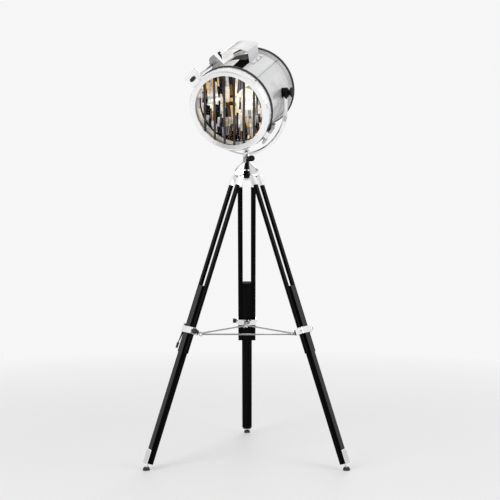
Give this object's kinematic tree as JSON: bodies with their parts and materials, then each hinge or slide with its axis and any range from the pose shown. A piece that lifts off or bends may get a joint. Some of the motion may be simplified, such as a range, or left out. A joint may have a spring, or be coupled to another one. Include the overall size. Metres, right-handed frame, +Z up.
{
  "type": "tripod searchlight floor lamp",
  "caption": "Searchlight floor lamp: a chromed drum with a barred glass door, in a yoke on a black wooden tripod with sliding legs and spreader rods.",
  "frame": {"origin": "centre of the bounding box on the floor", "axes": "+Z up; the lamp is seen from -Y in the picture and its beam points to -Y and a little to -X"},
  "size_m": [0.763, 0.6904, 1.6159],
  "materials": {
    "chromed_metal": "polished",
    "brushed_metal": "satin",
    "black_wood": "satin lacquer",
    "black_knob": "gloss",
    "rubber": "matte",
    "clear_glass": "clear",
    "bulb_glass": "frosted",
    "mirror": "mirror",
    "white_holder": "gloss",
    "dark_metal": "semi gloss"
  },
  "bodies": {
    "crown": {"crown": "chromed_metal", "crown_finial": "chromed_metal"},
    "yoke": {"yoke": "chromed_metal", "swivel_stem": "chromed_metal"},
    "swivel_knob": {"swivel_knob": "black_knob"},
    "head": {"drum_shell": "chromed_metal", "rear_cover": "chromed_metal", "rear_gasket": "rubber", "front_gasket": "rubber", "reflector": "mirror", "lamp_holder": "white_holder", "bulb": "bulb_glass", "vent_hood": "chromed_metal", "door_hinge": "chromed_metal", "bolt_keeper": "brushed_metal", "trunnion_left": "dark_metal", "trunnion_right": "dark_metal"},
    "door": {"bezel_ring": "chromed_metal", "front_glass": "clear_glass", "grille": "chromed_metal"},
    "closure": {"closure_bolt": "dark_metal"},
    "tilt_knob_left": {"tilt_knob_left": "black_knob"},
    "tilt_knob_right": {"tilt_knob_right": "black_knob"},
    "leg_left": {"left_slat_a": "black_wood", "left_slat_b": "black_wood", "left_ferrule_a": "chromed_metal", "left_ferrule_b": "chromed_metal", "left_leg_bolt": "chromed_metal", "left_clamp_band": "chromed_metal", "left_spreader_bracket": "chromed_metal"},
    "pole_left": {"left_pole": "black_wood", "left_foot_shoe": "chromed_metal", "left_foot_pad": "rubber"},
    "rod_left": {"left_spreader_rod": "chromed_metal"},
    "clamp_knob_left": {"left_clamp_knob": "black_knob"},
    "leg_right": {"right_slat_a": "black_wood", "right_slat_b": "black_wood", "right_ferrule_a": "chromed_metal", "right_ferrule_b": "chromed_metal", "right_leg_bolt": "chromed_metal", "right_clamp_band": "chromed_metal", "right_spreader_bracket": "chromed_metal"},
    "pole_right": {"right_pole": "black_wood", "right_foot_shoe": "chromed_metal", "right_foot_pad": "rubber"},
    "rod_right": {"right_spreader_rod": "chromed_metal"},
    "clamp_knob_right": {"right_clamp_knob": "black_knob"},
    "leg_back": {"back_slat_a": "black_wood", "back_slat_b": "black_wood", "back_ferrule_a": "chromed_metal", "back_ferrule_b": "chromed_metal", "back_leg_bolt": "chromed_metal", "back_clamp_band": "chromed_metal", "back_spreader_bracket": "chromed_metal"},
    "pole_back": {"back_pole": "black_wood", "back_foot_shoe": "chromed_metal", "back_foot_pad": "rubber"},
    "rod_back": {"back_spreader_rod": "chromed_metal"},
    "clamp_knob_back": {"back_clamp_knob": "black_knob"},
    "clamp_lever": {"clamp_lever": "chromed_metal"}
  },
  "joints": [
    {"name": "head_pan", "type": "hinge", "parent": "crown", "child": "yoke", "pos_m": [0, -0.09251, 1.168], "axis": [0, 0, 1], "range_deg": [-170, 170]},
    {"name": "swivel_knob_turn", "type": "hinge", "parent": "crown", "child": "swivel_knob", "pos_m": [0.015, -0.11849, 1.16], "axis": [0.5, -0.866, 0], "continuous": true},
    {"name": "head_tilt", "type": "hinge", "parent": "yoke", "child": "head", "pos_m": [0, -0.09251, 1.408], "axis": [0.9272, -0.3746, 0], "range_deg": [-75, 12]},
    {"name": "tilt_knob_left_turn", "type": "hinge", "parent": "head", "child": "tilt_knob_left", "pos_m": [-0.16226, -0.02695, 1.408], "axis": [0.9272, -0.3746, 0], "continuous": true},
    {"name": "tilt_knob_right_turn", "type": "hinge", "parent": "head", "child": "tilt_knob_right", "pos_m": [0.16226, -0.15807, 1.408], "axis": [0.9272, -0.3746, 0], "continuous": true},
    {"name": "door_swing", "type": "hinge", "parent": "head", "child": "door", "pos_m": [0.08178, -0.23517, 1.23688], "axis": [0.4791, -0.5479, 0.6858], "range_deg": [0, 105]},
    {"name": "closure_turn", "type": "hinge", "parent": "door", "child": "closure", "pos_m": [-0.17498, -0.22532, 1.46625], "axis": [-0.3378, -0.8362, -0.4321], "range_deg": [0, 90]},
    {"name": "left_leg_fold", "type": "hinge", "parent": "crown", "child": "leg_left", "pos_m": [-0.03724, -0.11401, 1.09], "axis": [0.5, -0.866, 0], "range_deg": [0, 12]},
    {"name": "left_pole_slide", "type": "slide", "parent": "leg_left", "child": "pole_left", "axis": [0.2862, 0.1653, 0.9438], "range_m": [-0.15, 0.4]},
    {"name": "left_rod_swing", "type": "hinge", "parent": "leg_left", "child": "rod_left", "pos_m": [-0.17273, -0.20574, 0.48893], "axis": [0, 1, 0], "range_deg": [0, 102]},
    {"name": "left_clamp_knob_turn", "type": "hinge", "parent": "leg_left", "child": "clamp_knob_left", "pos_m": [-0.19122, -0.26215, 0.50678], "axis": [0.5, -0.866, 0], "continuous": true},
    {"name": "right_leg_fold", "type": "hinge", "parent": "crown", "child": "leg_right", "pos_m": [0.03724, -0.11401, 1.09], "axis": [0.5, 0.866, 0], "range_deg": [0, 12]},
    {"name": "right_pole_slide", "type": "slide", "parent": "leg_right", "child": "pole_right", "axis": [-0.2862, 0.1653, 0.9438], "range_m": [-0.15, 0.4]},
    {"name": "right_rod_swing", "type": "hinge", "parent": "leg_right", "child": "rod_right", "pos_m": [0.18442, -0.18549, 0.48893], "axis": [-0.866, -0.5, 0], "range_deg": [0, 102]},
    {"name": "right_clamp_knob_turn", "type": "hinge", "parent": "leg_right", "child": "clamp_knob_right", "pos_m": [0.24252, -0.17329, 0.50678], "axis": [0.5, 0.866, 0], "continuous": true},
    {"name": "back_leg_fold", "type": "hinge", "parent": "crown", "child": "leg_back", "pos_m": [0, -0.04951, 1.09], "axis": [-1, 0, 0], "range_deg": [0, 12]},
    {"name": "back_pole_slide", "type": "slide", "parent": "leg_back", "child": "pole_back", "axis": [0, -0.3305, 0.9438], "range_m": [-0.15, 0.4]},
    {"name": "back_rod_swing", "type": "hinge", "parent": "leg_back", "child": "rod_back", "pos_m": [-0.01169, 0.11369, 0.48893], "axis": [0.866, -0.5, 0], "range_deg": [0, 102]},
    {"name": "back_clamp_knob_turn", "type": "hinge", "parent": "leg_back", "child": "clamp_knob_back", "pos_m": [-0.0513, 0.15791, 0.50678], "axis": [-1, 0, 0], "continuous": true},
    {"name": "clamp_lever_flip", "type": "hinge", "parent": "leg_left", "child": "clamp_lever", "pos_m": [-0.23387, -0.17638, 0.52377], "axis": [0.8174, 0.4719, -0.3305], "range_deg": [0, 110]}
  ],
  "couplings": [
    {"joint": "left_rod_swing", "follows": "left_leg_fold", "ratio": 8.5},
    {"joint": "right_rod_swing", "follows": "left_leg_fold", "ratio": 8.5},
    {"joint": "right_leg_fold", "follows": "left_leg_fold", "ratio": 1},
    {"joint": "back_rod_swing", "follows": "left_leg_fold", "ratio": 8.5},
    {"joint": "back_leg_fold", "follows": "left_leg_fold", "ratio": 1}
  ]
}
